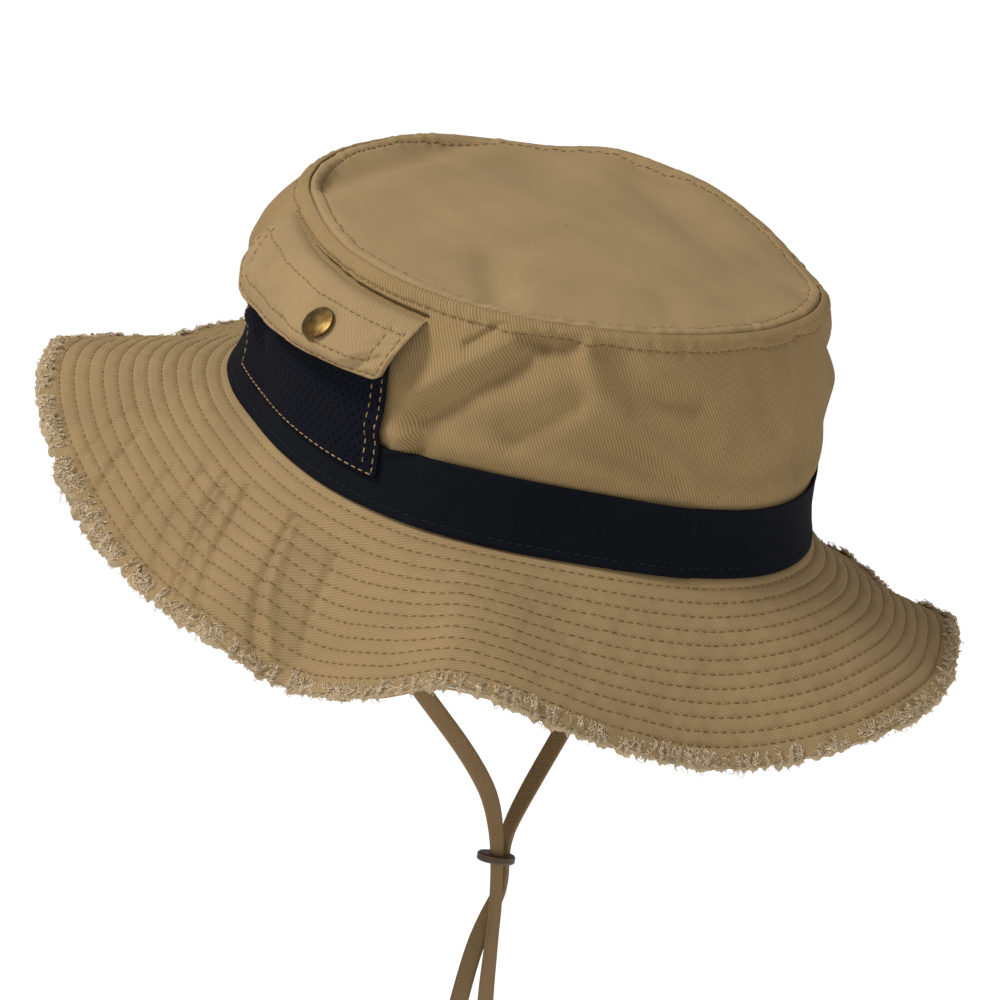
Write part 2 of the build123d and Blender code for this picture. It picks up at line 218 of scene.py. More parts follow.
# Folds of the crown's wall: points along each as (millimetres round the crown from the back,
# height up it), then its half width and its height, which is below 0 for a hollow. The height
# is multiplied by WALL_FOLD_DEPTH.
WALL_FOLD_DEPTH = 1.7
WALL_FOLDS = (
    (((58, 66), (70, 63), (78, 55), (89, 46), (100, 34), (101, 25)), 4.6, -2.6),
    (((77, 66), (92, 54), (104, 40), (106, 28)), 4.5, 1.5),
    (((54, 50), (64, 43), (72, 36)), 4.2, -1.4),
    (((47, 66), (41, 62), (33, 53), (13, 52)), 4.6, -1.9),
    (((53, 66), (47, 53), (31, 43), (13, 32)), 4.4, 1.5),
    (((45, 38), (19, 29)), 4.6, -1.0),
    (((-11, 69), (-14, 59), (-18, 46)), 4.2, -1.0),
    (((-42, 70), (-38, 51), (-41, 28)), 5.5, -1.2),
    (((81, 71), (84, 66), (90, 61)), 1.7, -1.3),
    (((80, 71), (73, 66), (66, 64)), 1.7, -0.9),
    (((101, 30), (108, 20)), 2.4, 1.2),
    (((-70, 66), (-95, 48), (-100, 30)), 5.5, -2.0),
    (((-130, 64), (-118, 44), (-124, 28)), 6.0, 1.8),
    (((-150, 68), (-166, 48), (-176, 30)), 5.5, -1.8),
    (((150, 60), (172, 40), (180, 28)), 6.0, -1.5),
    (((-232, 66), (-214, 50), (-210, 30)), 5.5, -1.8),
)
# How far the crown's upper edge stands above (or below) its smooth line, by azimuth.
RIM_LIFT = (
    (0, 0), (30, 0), (50, -0.5), (70, -0.8), (90, -0.8), (110, 1.0), (130, 1.0), (150, 2.0),
    (170, 2.5), (185, 3.4), (200, 3.2), (213, 4.0), (227, 8.0), (240, 7.4), (252, 6.0),
    (265, 2.0), (278, -2.0), (292, -3.5), (312, -1.0), (335, -0.6),
)

# The crown swells out over the left front: azimuth of that swelling, its half width in degrees
# and how far it stands out.
SWELL_AZ, SWELL_WIDTH, SWELL_OUT = 132, 26, 7.4
# Corners of the pocket's flap as (azimuth, height): at its fold and at its hem.
FOLD_REAR, FOLD_FRONT = (62.8, 62.7), (117.5, 64.0)
HEM_REAR, HEM_FRONT = (66.0, 44.4), (115.5, 36.6)
# Height of the hatband's upper edge, by azimuth.
BAND_TOP = (
    (0, 21.0), (20, 22.6), (40, 23.4), (56, 22.8), (65, 21.0), (73, 21.4), (84, 23.5),
    (180, 23.5), (300, 23.0), (320, 21.0), (338, 19.9),
)


def azimuth_signed(azimuth):
    """Azimuth from -180 to 180."""
    return np.mod(np.asarray(azimuth, float) + 180.0, 360.0) - 180.0


def folds_of(x, y, folds):
    """Sum of soft ridges and hollows, each along a line of points."""
    total = np.zeros(np.shape(x))
    for points, width, height in folds:
        nearest = np.full(np.shape(x), 1e9)
        for (ax, ay), (bx, by) in zip(points[:-1], points[1:]):
            dx, dy = bx - ax, by - ay
            t = np.clip(((x - ax) * dx + (y - ay) * dy) / (dx * dx + dy * dy), 0.0, 1.0)
            nearest = np.minimum(nearest, np.hypot(x - ax - t * dx, y - ay - t * dy))
        total = total + height * np.exp(-((nearest / width) ** 2))
    return total


rim_lift = periodic(RIM_LIFT)
band_top = periodic(BAND_TOP)
STITCH_GAP = 4.3        # from the crown's seam to the topstitch on each side of it


def seam_relief(gap, x, y, seed):
    """Rolled seam with a row of topstitch beside it and small puckers in between."""
    puckers = 0.3 * ripple(np.stack([x, y, 0.25 * gap], -1), 4.5, seed)
    puckers = puckers + 0.2 * ripple(np.stack([x, y, 0.2 * gap], -1), 12, seed + 1)
    raised = 0.45 * (1 - ease(gap, 3.4, 5.0)) * ease(gap, 0.2, 1.6)
    stitched = -0.34 * bump(gap, STITCH_GAP, 0.55)
    return raised + stitched + puckers * (1 - ease(gap, 4.0, 8.0)) * ease(gap, 0.1, 1.2)


def wall_relief(azimuth, z):
    """How far the cloth of the crown stands out from its smooth wall."""
    side = azimuth_signed(azimuth)
    s = side * ARC
    rise = z / CROWN_H
    swelling = SWELL_OUT * bump(side, SWELL_AZ, SWELL_WIDTH)
    relief = swelling * ease(rise, 0.2, 0.66) * (1 - 0.45 * ease(rise, 0.75, 1))
    folds = WALL_FOLD_DEPTH * folds_of(s, z, WALL_FOLDS)
    relief = relief + folds * ease(z, 14, 26) * (1 - ease(z, 67, 71))
    over_band = z - band_top(azimuth)
    relief = relief + 1.6 * bump(over_band, 5.5, 4.5) * ease(over_band, 0, 3)
    along_flap = ease(side, 62, 64) * (1 - ease(side, 116, 118))
    flap_share = (side - FOLD_REAR[0]) / (FOLD_FRONT[0] - FOLD_REAR[0])
    fold_z = FOLD_REAR[1] + (FOLD_FRONT[1] - FOLD_REAR[1]) * flap_share
    relief = relief - 2.6 * bump(z, fold_z + 2.1, 0.8) * along_flap
    gap = CROWN_H - z
    x, y = plan(azimuth, np.ones_like(rise))
    return relief + seam_relief(gap, x, y, 60) - 1.7 * bump(gap, -0.3, 0.9)


def wall(azimuth, z, out=0.0, relief=1.0):
    """Point of the crown's wall at a height, pushed out from its outer face."""
    azimuth, z, out = spread(azimuth, z, out)
    rise = np.clip(z / CROWN_H, 0.0, 1.0)
    x, y = plan(azimuth, rise)
    nx, ny = outward(azimuth, rise)
    reach = out + np.interp(rise, BELLY_RISE, BELLY_OUT)
    if relief:
        spot = np.stack([x, y, z], -1)
        reach = reach + relief * wall_relief(azimuth, z)
        reach = reach + relief * 0.5 * ripple(spot, 38, 3) * bump(z, 45, 26)
        reach = reach + relief * 0.14 * ripple(spot, 11, 4) * ease(z, 20, 32)
    lift = rim_lift(azimuth) * ease(rise, 0.3, 1.0)
    height = rise * (CROWN_H + CROWN_TILT * y) + np.minimum(z, 0.0) + lift
    return np.stack([x + nx * reach, y + ny * reach, height], -1)


# Folds of the tip, seen from above: points along each, its half width and its height.
TIP_FOLDS = (
    (((64, -49), (40, -58), (18, -67), (-6, -78), (-26, -87)), 7.5, -4.2),
    (((52, -36), (14, -52), (-20, -66)), 10.0, 1.8),
    (((72, 66), (58, 46), (44, 22)), 7.0, -2.6),
    (((-84, -66), (-58, -30), (-48, 30)), 11.0, -2.4),
    (((-64, 20), (-58, 52)), 8.0, -1.6),
    (((10, 74), (4, 60)), 5.0, -0.8),
)


def tip(azimuth, share, lift=0.0):
    """Point of the tip panel: share 1 is its seam, 0 its middle."""
    azimuth, share, lift = spread(azimuth, share, lift)
    edge = wall(azimuth, CROWN_H)
    edge_x, edge_y = edge[..., 0], edge[..., 1]
    x, y = edge_x * share, TIP_SHIFT + (edge_y - TIP_SHIFT) * share
    gap = (1 - share) * TIP_WIDE
    z = CROWN_H + CROWN_TILT * y + TIP_DOME * (1 - share**2) + lift
    z = z + rim_lift(azimuth) * share**3
    z = z + seam_relief(gap, edge_x, edge_y, 80) - 1.5 * bump(gap, -0.2, 0.8)
    z = z + folds_of(x, y, TIP_FOLDS) * ease(gap, 1, 7)
    spot = np.stack([x, y, 0 * x], -1)
    z = z + (0.8 * ripple(spot, 60, 5) + 0.16 * ripple(spot, 14, 6)) * ease(gap, 3, 16)
    return np.stack([x, y, z], -1)


# Reaches of the brim's rings of stitching.
ROWS = tuple(3.6 + 4.75 * k for k in range(12))
CROWN_RADIUS = 95       # about the mean radius of the brim's inner edge

# Creases of the brim: points along each as (azimuth, reach), its half width in millimetres
# and its height. They are multiplied by CREASE_WIDTH and CREASE_DEPTH.
CREASE_WIDTH, CREASE_DEPTH = 0.85, 1.4
BRIM_FOLDS = (
    (((91, 16), (90, 19), (84, 40), (78, 58)), 1.9, -1.5),
    (((94, 22), (88, 42), (82, 58)), 1.8, 1.3),
    (((97, 18), (91, 38), (84, 57)), 1.7, -1.1),
    (((78, 14), (77, 20), (74, 40), (70, 57)), 1.8, -1.3),
    (((76, 18), (72, 40), (68, 56)), 2.4, 1.0),
    (((101, 22), (96, 40), (90, 58)), 1.8, -0.9),
    (((105, 30), (101, 44), (97, 58)), 1.8, -0.7),
    (((115, 34), (111, 46), (107, 57)), 1.6, -0.9),
    (((121, 30), (118, 42), (113, 56)), 1.6, -0.6),
    (((68, 18), (67, 36), (65, 52)), 2.2, -0.6),
    (((-96, 16), (-92, 38), (-88, 57)), 2.0, -1.3),
    (((-102, 20), (-99, 40), (-96, 58)), 2.0, -1.0),
    (((-150, 20), (-147, 40), (-146, 57)), 2.2, -1.0),
    (((160, 22), (163, 40), (164, 56)), 2.0, -0.9),
    (((-128, 24), (-126, 42), (-125, 57)), 2.0, 0.9),
)


def brim_relief(azimuth, reach):
    """How far the upper brim stands up from its smooth surface."""
    x, y = plan(azimuth, np.zeros_like(azimuth))
    nx, ny = outward(azimuth, np.zeros_like(x))
    spot = np.stack([x + nx * reach, y + ny * reach, 0 * x], -1)
    relief = 0.4 * ripple(spot, 42, 11) * ease(reach, 8, 30)
    relief = relief + 0.2 * ripple(spot, 8, 12) * ease(reach, 3, 12)
    side = azimuth_signed(azimuth)
    for points, width, height in BRIM_FOLDS:
        scale = math.radians(1) * (CROWN_RADIUS + points[-1][1])
        scaled = [(a * scale, r) for a, r in points]
        crease = (scaled, CREASE_WIDTH * width, CREASE_DEPTH * height)
        relief = relief + folds_of(side * scale, reach, [crease])
    for row in ROWS:
        relief = relief - 0.5 * bump(reach, row, 0.8)
    return relief


SAG_SCALE = 1.5 * math.sqrt(3.0)    # brings the greatest value of sqrt(s) * (1 - s) to 1


def brim(azimuth, reach, lift=0.0, relief=1.0):
    """Point of the brim's upper face, out from the crown, with a lift square to it."""
    azimuth, reach, lift = spread(azimuth, reach, lift)
    x, y = plan(azimuth, np.zeros_like(azimuth))
    nx, ny = outward(azimuth, np.zeros_like(azimuth))
    droop = np.radians(droop_of(azimuth))
    if relief:
        lift = lift + relief * brim_relief(azimuth, reach)
    level = reach * np.cos(droop) + lift * np.sin(droop)
    share = np.clip(reach / BRIM_W, 0.0, 1.0)
    down = reach * np.sin(droop) - lift * np.cos(droop)
    down = down + dip_of(azimuth) * SAG_SCALE * np.sqrt(share) * (1 - share)
    return np.stack([x + nx * level, y + ny * level, -0.15 - down], -1)


# ---- meshes -------------------------------------------------------------------------------
def new_object(name, verts, faces, uvs, material):
    """Mesh object in scene metres; uvs has one pair for each face corner."""
    mesh = bpy.data.meshes.new(name)
    mesh.from_pydata([tuple(v) for v in verts], [], faces)
    layer = mesh.uv_layers.new(name="cloth")
    layer.data.foreach_set("uv", np.asarray(uvs, float).ravel())
    mesh.polygons.foreach_set("use_smooth", [True] * len(mesh.polygons))
    mesh.materials.append(material)
    mesh.update()
    piece = bpy.data.objects.new(name, mesh)
    bpy.context.scene.collection.objects.link(piece)
    return piece


def grid(name, points, uv, material, closed=False, flip=False, thickness=0.0):
    """Cloth from a grid of points [i][j] in level millimetres, uv in millimetres.

    A closed grid joins its last row to its first; its uv then has one more row.
    """
    rows, columns = points.shape[:2]
    verts = place(points).reshape(-1, 3)
    faces, uvs = [], []
    for i in range(rows if closed else rows - 1):
        k = (i + 1) % rows
        for j in range(columns - 1):
            corners = [(i, j, i), (k, j, i + 1), (k, j + 1, i + 1), (i, j + 1, i)]
            if flip:
                corners.reverse()
            faces.append([a * columns + b for a, b, _ in corners])
            uvs.extend(uv[c][b] for _, b, c in corners)
    piece = new_object(name, verts, faces, uvs, material)
    if thickness:
        solid = piece.modifiers.new("cloth thickness", "SOLIDIFY")
        solid.thickness = thickness / 1000.0
        solid.offset = -1.0
    return piece


def ring_grid(name, surface, count, across, uv_of, material, thickness=0.0, flip=False):
    """Grid right round the hat: surface(azimuth, v) and uv_of(azimuth, v) on a mesh of both."""
    a, v = np.meshgrid(np.arange(count + 1) * 360.0 / count, across, indexing="ij")
    return grid(name, surface(a[:-1], v[:-1]), uv_of(a, v), material, True, flip, thickness)


def strip_uv(azimuth, v):
    """Flat cloth of a piece that runs round the crown."""
    return np.stack([azimuth * ARC, v], -1)


def resample(points, step):
    """Evenly spaced stations along a line, with the way it runs at each."""
    length = travelled(points)
    count = max(2, int(length[-1] / step))
    at = (np.arange(count) + 0.5) * length[-1] / count
    spots, ahead, behind = (along_line(at + step, length, points) for step in (0, 0.3, -0.3))
    return spots, unit(ahead - behind), at / length[-1]


class Thread:
    """Collects stitches and loose threads into one mesh."""

    def __init__(self, sides=6):
        self.verts, self.faces, self.count, self.sides = [], [], 0, sides

    def strand(self, line, radius):
        """Round thread along a line of level millimetres, tapered at both ends."""
        line = np.asarray(line, float)
        ways = unit(np.gradient(line, axis=0))
        side = unit(np.cross(ways, (0.31, 0.22, 0.93)))
        up = np.cross(side, ways)
        count, base, sides = len(line), self.count, self.sides
        taper = np.full((count, 1), radius)
        taper[0] = taper[-1] = radius * 0.35
        for k in range(sides):
            turn = 2 * math.pi * k / sides
            self.verts.append(line + (side * math.cos(turn) + up * math.sin(turn)) * taper)
        for k in range(sides):
            m = (k + 1) % sides
            for i in range(count - 1):
                a, b = base + k * count + i, base + m * count + i
                self.faces.append((a, b, b + 1, a + 1))
        self.faces.append([base + k * count for k in reversed(range(sides))])
        self.faces.append([base + k * count + count - 1 for k in range(sides)])
        self.count += sides * count

    def stitches(self, points, normals, shares, seed, pitch, length, radius, sink=0.06):
        """Row of stitches along a line, on a cloth whose normals are known at some shares of it."""
        rng = np.random.RandomState(seed)
        spots, ways, share = resample(points, pitch)
        normals = unit(along_line(share, shares, normals))
        ends, shoulder, middle = -(radius + sink), 0.55 * radius, 0.85 * radius
        rise = ((-1, ends), (-0.7, shoulder), (0, middle), (0.7, shoulder), (1, ends))
        for spot, way, normal in zip(spots, ways, normals):
            half = length / 2 * rng.uniform(0.86, 1.08)
            run = way + np.cross(normal, way) * rng.uniform(-0.06, 0.06)
            self.strand([spot + run * half * at + normal * up for at, up in rise], radius)

    def piece(self, name, material):
        verts = place(np.concatenate(self.verts))
        uvs = [(0.0, 0.0)] * sum(len(f) for f in self.faces)
        return new_object(name, verts, self.faces, uvs, material)


def surface_normals(surface, azimuths, v):
    """Unit normals of a surface along a line of azimuths at one v."""
    here = surface(azimuths, v)
    along = surface(azimuths + 0.4, v) - here
    across = surface(azimuths, v + 0.4) - here
    return unit(np.cross(along, across))


def ring_stitches(thread, surface, v, facing, seed, count=1440, **style):
    """Row of stitches round the hat; facing is -1 where the surface's normals face in."""
    azimuths = np.linspace(0.0, 360.0, count)
    normals = surface_normals(surface, azimuths, v) * facing
    thread.stitches(surface(azimuths, v), normals, np.linspace(0, 1, count), seed, **style)


# ---- materials ----------------------------------------------------------------------------
class Nodes:
    """Short calls that add nodes to a material."""

    def __init__(self, name):
        self.material = bpy.data.materials.new(name)
        self.material.use_nodes = True
        self.tree = self.material.node_tree
        self.shader = self.tree.nodes["Principled BSDF"]

    def add(self, kind, **settings):
        node = self.tree.nodes.new(kind)
        for key, value in settings.items():
            setattr(node, key, value)
        return node

    def link(self, source, target):
        self.tree.links.new(source, target)

    def math(self, operation, a, b=0.0):
        node = self.add("ShaderNodeMath", operation=operation)
        for socket, value in zip(node.inputs, (a, b)):
            if isinstance(value, (int, float)):
                socket.default_value = value
            else:
                self.link(value, socket)
        return node.outputs[0]

    def noise(self, where, scale, detail=3.0, roughness=0.5):
        node = self.add("ShaderNodeTexNoise")
        node.inputs["Scale"].default_value = scale
        node.inputs["Detail"].default_value = detail
        node.inputs["Roughness"].default_value = roughness
        self.link(where, node.inputs["Vector"])
        return node.outputs["Fac"]

    def ramp(self, value, stops):
        node = self.add("ShaderNodeValToRGB")
        while len(node.color_ramp.elements) < len(stops):
            node.color_ramp.elements.new(0.5)
        for element, (position, color) in zip(node.color_ramp.elements, stops):
            element.position = position
            element.color = (*color, 1.0)
        self.link(value, node.inputs[0])
        return node.outputs[0]

    def mix(self, amount, a, b, mode="MIX"):
        node = self.add("ShaderNodeMix", data_type="RGBA", blend_type=mode)
        for socket, value in zip((node.inputs[0], node.inputs[6], node.inputs[7]), (amount, a, b)):
            if isinstance(value, (int, float)):
                socket.default_value = value
            elif isinstance(value, tuple):
                socket.default_value = (*value, 1.0)
            else:
                self.link(value, socket)
        return node.outputs[2]

    def relief(self, height, distance):
        node = self.add("ShaderNodeBump")
        node.inputs["Distance"].default_value = distance
        node.inputs["Strength"].default_value = 1.0
        self.link(height, node.inputs["Height"])
        self.link(node.outputs["Normal"], self.shader.inputs["Normal"])

    def colour(self, value):
        self.link(value, self.shader.inputs["Base Color"])

    def finish(self, **values):
        """Constants of the shader, by the names of its sockets."""
        for name, value in values.items():
            self.shader.inputs[name.replace("_", " ")].default_value = value


def srgb(r, g, b):
    """Display colour, 0 to 255, as the linear colour that shaders use."""
    def one(c):
        c = c / 255.0
        return c / 12.92 if c <= 0.04045 else ((c + 0.055) / 1.055) ** 2.4
    return one(r), one(g), one(b)


def twill(name, light, dark, pitch=0.95, lean=1.0, relief=0.00012, wear=0.12, sheen=0.1):
    """Cotton twill: diagonal ribs of yarn on the piece's own uv, which is in millimetres."""
    n = Nodes(name)
    uv = n.add("ShaderNodeUVMap", uv_map="cloth").outputs[0]
    split = n.add("ShaderNodeSeparateXYZ")
    n.link(uv, split.inputs[0])
    u, v = split.outputs[0], split.outputs[1]
    drift = n.noise(uv, 0.16, 2.0)
    diagonal = n.math("ADD", n.math("MULTIPLY", u, lean), v)
    diagonal = n.math("ADD", diagonal, n.math("MULTIPLY", drift, 0.35))
    phase = n.math("MULTIPLY", diagonal, 2 * math.pi / (pitch * math.sqrt(1 + lean * lean)))
    rib = n.math("MULTIPLY", n.math("ADD", n.math("SINE", phase), 1.0), 0.5)
    across = n.math("SUBTRACT", u, n.math("MULTIPLY", v, lean))
    float_phase = n.math("ADD", n.math("MULTIPLY", across, 2 * math.pi / (pitch * 0.8)), phase)
    floats = n.math("MULTIPLY", n.math("ADD", n.math("SINE", float_phase), 1.0), 0.5)
    weave = n.math("ADD", n.math("MULTIPLY", rib, 0.75), n.math("MULTIPLY", floats, 0.25))
    slub = n.noise(uv, 1.6, 4.0, 0.65)
    broad = n.noise(uv, 0.035, 3.0, 0.55)
    height = n.math("ADD", weave, n.math("MULTIPLY", slub, 0.7))
    tone = n.math("ADD", n.math("MULTIPLY", weave, 0.55), n.math("MULTIPLY", slub, 0.45))
    base = n.ramp(tone, ((0.15, dark), (0.75, light)))
    fade = n.ramp(broad, ((0.32, (1 - wear,) * 3), (0.68, (1.0,) * 3)))
    n.colour(n.mix(1.0, base, fade, "MULTIPLY"))
    n.finish(Roughness=0.92, Specular_IOR_Level=0.12, Sheen_Weight=sheen, Sheen_Roughness=0.5,
             Sheen_Tint=(*light, 1.0))
    n.relief(height, relief)
    return n.material


def thread_material(name, light, dark):
    n = Nodes(name)
    where = n.add("ShaderNodeTexCoord").outputs["Object"]
    value = n.noise(where, 900.0, 3.0)
    n.colour(n.ramp(value, ((0.35, dark), (0.65, light))))
    n.finish(Roughness=0.8, Specular_IOR_Level=0.2)
    n.relief(value, 0.00008)
    return n.material


def brass(name):
    n = Nodes(name)
    where = n.add("ShaderNodeTexCoord").outputs["Object"]
    patina = n.noise(where, 260.0, 5.0, 0.6)
    scuffs = n.noise(where, 1400.0, 3.0, 0.7)
    tarnished, aged, bright = srgb(72, 54, 27), srgb(98, 78, 42), srgb(124, 101, 58)
    n.colour(n.ramp(patina, ((0.35, tarnished), (0.55, aged), (0.75, bright))))
    n.finish(Metallic=1.0)
    rough = n.ramp(scuffs, ((0.3, (0.34,) * 3), (0.7, (0.5,) * 3)))
    n.link(rough, n.shader.inputs["Roughness"])
    n.relief(scuffs, 0.00003)
    return n.material


def leather(name):
    n = Nodes(name)
    where = n.add("ShaderNodeTexCoord").outputs["Object"]
    grain = n.add("ShaderNodeTexVoronoi")
    grain.inputs["Scale"].default_value = 1500.0
    n.link(where, grain.inputs["Vector"])
    cloudy = n.noise(where, 300.0, 4.0)
    n.colour(n.ramp(cloudy, ((0.3, srgb(38, 24, 8)), (0.7, srgb(78, 54, 20)))))
    n.finish(Roughness=0.55)
    n.relief(grain.outputs["Distance"], 0.00005)
    return n.material


# Twills by material: name, light and dark display colour, pitch of the ribs in millimetres, their
# lean, depth of the relief in metres, wear and sheen.
TWILLS = {
    "tip": ("khaki twill, tip", (157, 133, 96), (135, 112, 78), 0.95, 0.55, 0.00006),
    "wall": ("khaki twill, wall", (158, 133, 93), (114, 92, 58), 0.98, -1.9, 0.00018),
    "brim": ("khaki twill, brim", (154, 130, 93), (130, 108, 74), 0.95, 0.75, 0.00006),
    "flap": ("khaki twill, flap", (149, 126, 91), (136, 114, 80), 0.9, -1.0, 0.00005),
    "inside": ("khaki twill, inside", (148, 124, 84), (110, 88, 56), 1.0, 1.0),
    "edge": ("frayed khaki edge", (176, 157, 126), (152, 132, 102), 0.8, 1.0, 0.00005, 0.2),
    "navy": ("navy twill", (13, 15, 23), (6, 7, 12), 0.95, 1.0, 0.00008, 0.25, 0.03),
    "mesh": ("navy mesh", (10, 12, 25), (4, 5, 12), 0.7, 1.0, 0.0001, 0.2, 0.03),
    "tape": ("khaki tape", (142, 118, 86), (108, 88, 60), 0.6, 1.0, 0.00008, 0.15),
    "core": ("stiff interlining", (205, 200, 188), (180, 175, 160), 0.8, 0.0, 0.00005),
}
# Threads by material: name, light and dark display colour.
THREADS = {
    # The khaki thread is darker than the cloth: partly the thread's own tone, partly painted shade
    # of the dents and holes the stitches sit in.
    "thread": ("khaki thread", (132, 107, 69), (102, 80, 48)),
    "tan thread": ("tan contrast thread", (176, 148, 106), (122, 96, 60)),
    "navy thread": ("navy thread", (30, 31, 38), (10, 10, 14)),
    "fray": ("frayed yarn", (208, 188, 156), (150, 128, 96)),
}


def make_materials():
    made = {"brass": brass("antique brass"), "leather": leather("dark leather")}
    for kind, table in ((twill, TWILLS), (thread_material, THREADS)):
        for key, (name, light, dark, *rest) in table.items():
            made[key] = kind(name, srgb(*light), srgb(*dark), *rest)
    return made


# ---- chin cord ----------------------------------------------------------------------------
# The cord's route, in metres: out of the tab at the left ear, down through the slide, round
# the hanging loop and back up to the right ear.
CORD_ROUTE = (
    (0.0805, 0.0007, 0.0019), (0.0805, -0.0041, -0.0113), (0.0755, -0.0075, -0.034),
    (0.0535, -0.0045, -0.058), (0.037, -0.001, -0.080), (0.018, 0.0012, -0.104),
    (0.0098, 0.0026, -0.121), (0.0098, 0.0026, -0.149), (0.0125, 0.0028, -0.166),
    (0.015, 0.0026, -0.1855), (0.015, 0.002, -0.206), (0.0125, 0.0015, -0.2265),
    (0.0095, 0.001, -0.247), (0.008, 0.001, -0.265), (0.011, 0.0005, -0.2805),
    (0.023, 0.0, -0.288), (0.037, -0.0005, -0.283), (0.045, -0.001, -0.2685),
    (0.0455, -0.0012, -0.252), (0.041, -0.0016, -0.2345), (0.034, -0.002, -0.2175),
    (0.027, -0.0026, -0.200), (0.021, -0.0032, -0.183), (0.015, -0.0034, -0.167),
    (0.010, -0.0024, -0.156), (0.0056, 0.0004, -0.146), (0.0056, 0.0004, -0.132),
    (-0.0005, 0.0004, -0.121), (-0.020, -0.002, -0.0985), (-0.039, -0.0045, -0.077),
    (-0.060, -0.0075, -0.058), (-0.078, -0.008, -0.035), (-0.0848, -0.0041, -0.0113),
    (-0.0848, 0.0007, 0.0019),
)
CORD_WIDTH, CORD_THICK = 0.006, 0.0021
# Middle and reach of the stretch that the slide travels, where it squeezes the tape narrower
# and thicker.
SQUEEZE_Z, SQUEEZE_REACH = -0.1395, 0.015
SQUEEZE_NARROWER, SQUEEZE_THICKER = 0.28, 0.25
TAPE_SIDES = 20
# Turn of the tape about its line, in degrees, at shares of its length.
CORD_TWIST = (
    (0.0, 0), (0.13, 8), (0.2, 18), (0.25, 36), (0.275, 58), (0.31, 38), (0.38, 8),
    (0.5, -50), (0.6, -20), (0.68, 10), (0.71, 30), (0.735, 42), (0.78, 28), (0.85, 18),
    (1.0, 0),
)
CORD_FACING = (0.6, 0.8, 0.0)   # the way the tape's broad side faces where it isn't turned


def cord_line():
    """Smooth centreline of the cord, read from its spline."""
    curve = bpy.data.curves.new("cord line", "CURVE")
    curve.dimensions = "3D"
    curve.resolution_u = 12
    spline = curve.splines.new("NURBS")
    spline.points.add(len(CORD_ROUTE) - 1)
    for point, spot in zip(spline.points, CORD_ROUTE):
        point.co = (*spot, 1.0)
    spline.order_u = 3
    spline.use_endpoint_u = True
    holder = bpy.data.objects.new("cord line", curve)
    bpy.context.scene.collection.objects.link(holder)
    bpy.context.view_layer.update()
    mesh = bpy.data.meshes.new_from_object(holder)
    line = np.array([v.co[:] for v in mesh.vertices])
    bpy.data.meshes.remove(mesh)
    bpy.data.objects.remove(holder)
    return line


def make_cord(materials):
    """Flat woven tape that follows the line and turns slowly about it."""
    line = cord_line()
    ways = unit(np.gradient(line, axis=0))
    length = travelled(line)
    side = unit(np.cross(ways, CORD_FACING))
    depth = np.cross(side, ways)
    twist = np.interp(length / length[-1], *np.transpose(CORD_TWIST))
    twist = np.radians(np.convolve(np.pad(twist, 6, "edge"), np.ones(13) / 13, "valid"))[:, None]
    squeeze = bump(line[:, 2:], SQUEEZE_Z, SQUEEZE_REACH)
    wide = side * np.cos(twist) + depth * np.sin(twist)
    thick = depth * np.cos(twist) - side * np.sin(twist)
    wide = wide * CORD_WIDTH / 2 * (1 - SQUEEZE_NARROWER * squeeze)
    thick = thick * CORD_THICK / 2 * (1 + SQUEEZE_THICKER * squeeze)
    sides = TAPE_SIDES
    turns = 2 * math.pi * np.arange(sides) / sides
    across = np.sign(np.cos(turns)) * np.abs(np.cos(turns)) ** 0.45
    through = np.sign(np.sin(turns)) * np.abs(np.sin(turns)) ** 0.7
    verts, faces, uvs = [], [], []
    for spot, w, t in zip(line, wide, thick):
        verts.extend(spot + w * a + t * b for a, b in zip(across, through))
    girth = 2 * (CORD_WIDTH + CORD_THICK) * 1000
    for i in range(len(line) - 1):
        for k in range(sides):
            m = (k + 1) % sides
            faces.append((i * sides + k, (i + 1) * sides + k, (i + 1) * sides + m, i * sides + m))
            u0, u1 = length[i] * 1000, length[i + 1] * 1000
            v0, v1 = girth * k / sides, girth * (k + 1) / sides
            uvs.extend(((u0, v0), (u1, v0), (u1, v1), (u0, v1)))
    faces.append(list(range(sides)))
    uvs.extend([(0, 0)] * sides)
    last = (len(line) - 1) * sides
    faces.append([last + k for k in reversed(range(sides))])
    uvs.extend([(0, 0)] * sides)
    piece = new_object("chin_tape", verts, faces, uvs, materials["tape"])
    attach(piece, "hat")
    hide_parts("chin_cord")


def put(piece, body, nodes):
    """Say which body a piece moves with and which solids it stands for."""
    if body:
        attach(piece, body)
    if nodes:
        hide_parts(*nodes)


# ---- crown --------------------------------------------------------------------------------
def make_crown(materials):
    heights = np.concatenate([np.linspace(0.2, 61, 78), np.linspace(61.5, 71.9, 34)])
    side = ring_grid("crown_side", wall, 840, heights, strip_uv, materials["wall"], 0.9,
                     flip=True)
    put(side, "hat", ["crown_sidewall"])

    shares = np.concatenate([np.linspace(1.0, 0.93, 14), np.linspace(0.92, 0.0005, 70)])
    top = ring_grid("crown_top", tip, 480, shares, lambda a, s: tip(a, s)[..., :2],
                    materials["tip"], 0.9, flip=True)
    put(top, "hat", ["crown_tip"])

    tape = ring_grid("tip_tape", lambda a, z: wall(a, z, -1.6), 300, np.linspace(59, 71, 8),
                     strip_uv, materials["tape"], 0.6, flip=True)
    put(tape, "hat", ["tip_seam_tape"])

    thread = Thread()
    style = dict(pitch=3.0, length=2.3, radius=0.2)
    ring_stitches(thread, wall, CROWN_H - STITCH_GAP, -1, 5, **style)
    ring_stitches(thread, tip, 1 - STITCH_GAP / TIP_WIDE, 1, 6, **style)
    put(thread.piece("crown_topstitch", materials["thread"]), "hat", [])


BAND_FOOT = 0.2         # height of the hatband's lower edge


